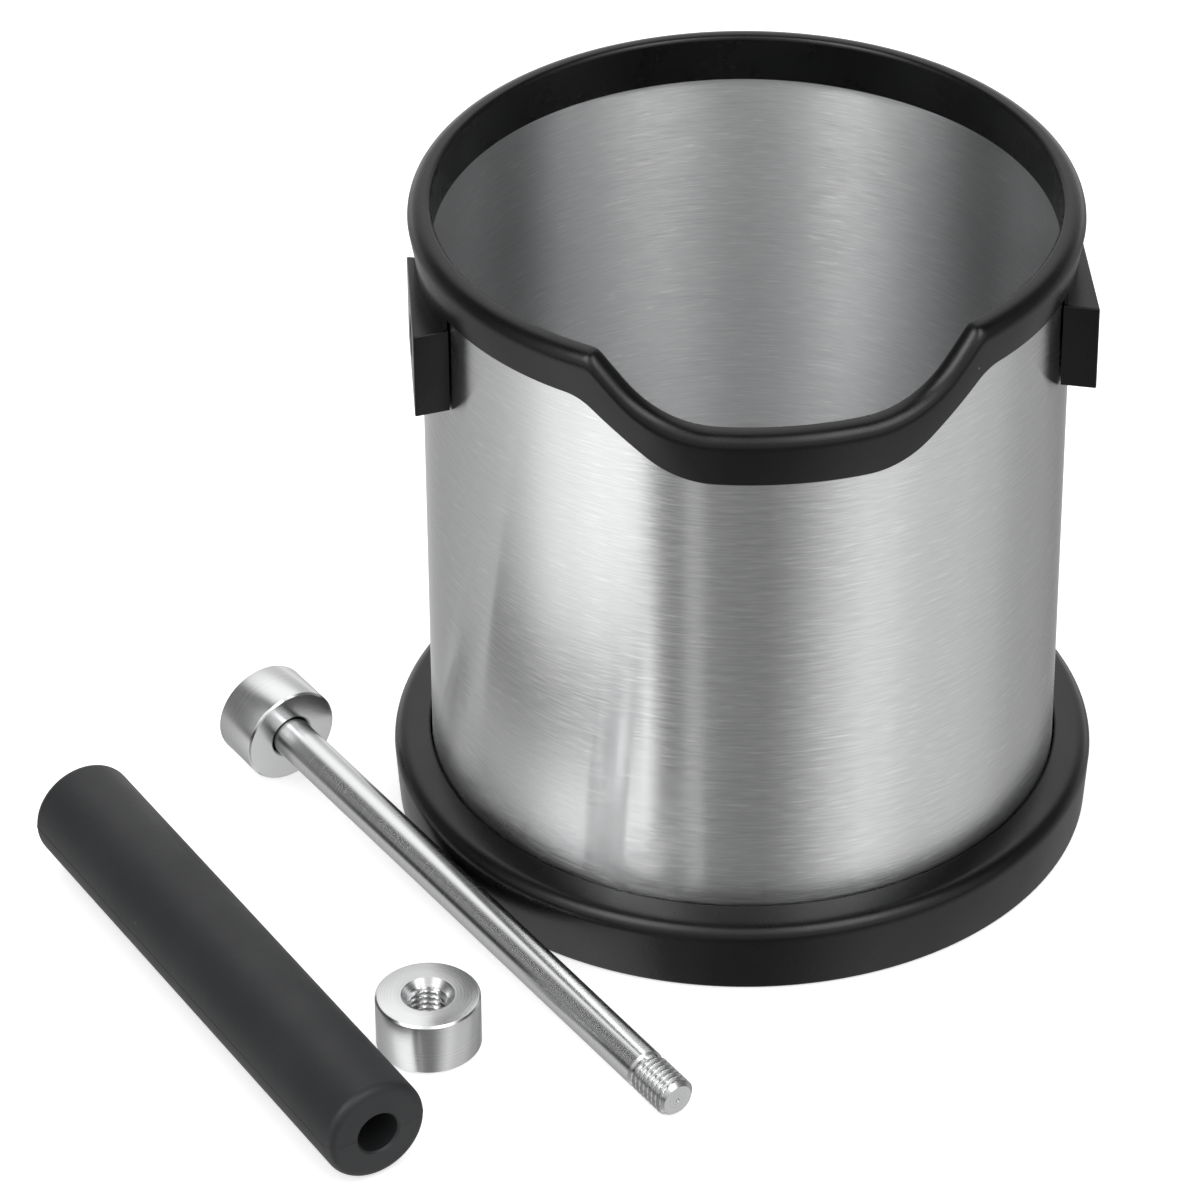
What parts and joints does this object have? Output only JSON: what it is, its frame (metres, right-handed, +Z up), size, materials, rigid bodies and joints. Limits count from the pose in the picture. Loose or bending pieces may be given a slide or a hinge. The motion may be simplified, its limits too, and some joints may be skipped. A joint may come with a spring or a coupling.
{
  "type": "knock box",
  "caption": "Round espresso knock box: brushed steel drum with a notched rubber rim, rubber foot, side lugs, and its knock bar taken apart beside it.",
  "frame": {"origin": "centre of the rubber boot's underside", "axes": "+Z up along the drum's axis; the notch in the rim faces -Y, its middle turned 3 degrees towards +X as in the picture; the bar lugs face +X and -X, with the fitted bar's axis 10.5 mm in front of the drum's axis"},
  "size_m": [0.2081, 0.1905, 0.1352],
  "materials": {
    "rubber": "satin moulded black rubber",
    "sleeve_rubber": "matte moulded black rubber",
    "brushed_steel": "brushed round the drum",
    "turned_steel": "fine turned and ground, bright"
  },
  "bodies": {
    "foot": {"base_boot": "rubber"},
    "drum": {"cup_wall": "brushed_steel", "cup_floor": "brushed_steel"},
    "rim": {"rim_guard": "rubber", "lug_left": "rubber", "lug_right": "rubber"},
    "bar": {"bar_rod": "turned_steel", "bar_head": "turned_steel"},
    "nut": {"bar_nut": "turned_steel"},
    "sleeve": {"bar_sleeve": "sleeve_rubber"}
  },
  "joints": [
    {"name": "cup_lift", "type": "slide", "parent": "foot", "child": "drum", "axis": [0, 0, 1], "range_m": [0, 0.06]},
    {"name": "rim_pull", "type": "slide", "parent": "drum", "child": "rim", "axis": [0, 0, 1], "range_m": [0, 0.05]},
    {"name": "bar_lift", "type": "slide", "parent": "foot", "child": "bar", "axis": [0, 0, 1], "range_m": [0, 0.15]},
    {"name": "nut_lift", "type": "slide", "parent": "foot", "child": "nut", "axis": [0, 0, 1], "range_m": [0, 0.15]},
    {"name": "sleeve_lift", "type": "slide", "parent": "foot", "child": "sleeve", "axis": [0, 0, 1], "range_m": [0, 0.15]}
  ]
}
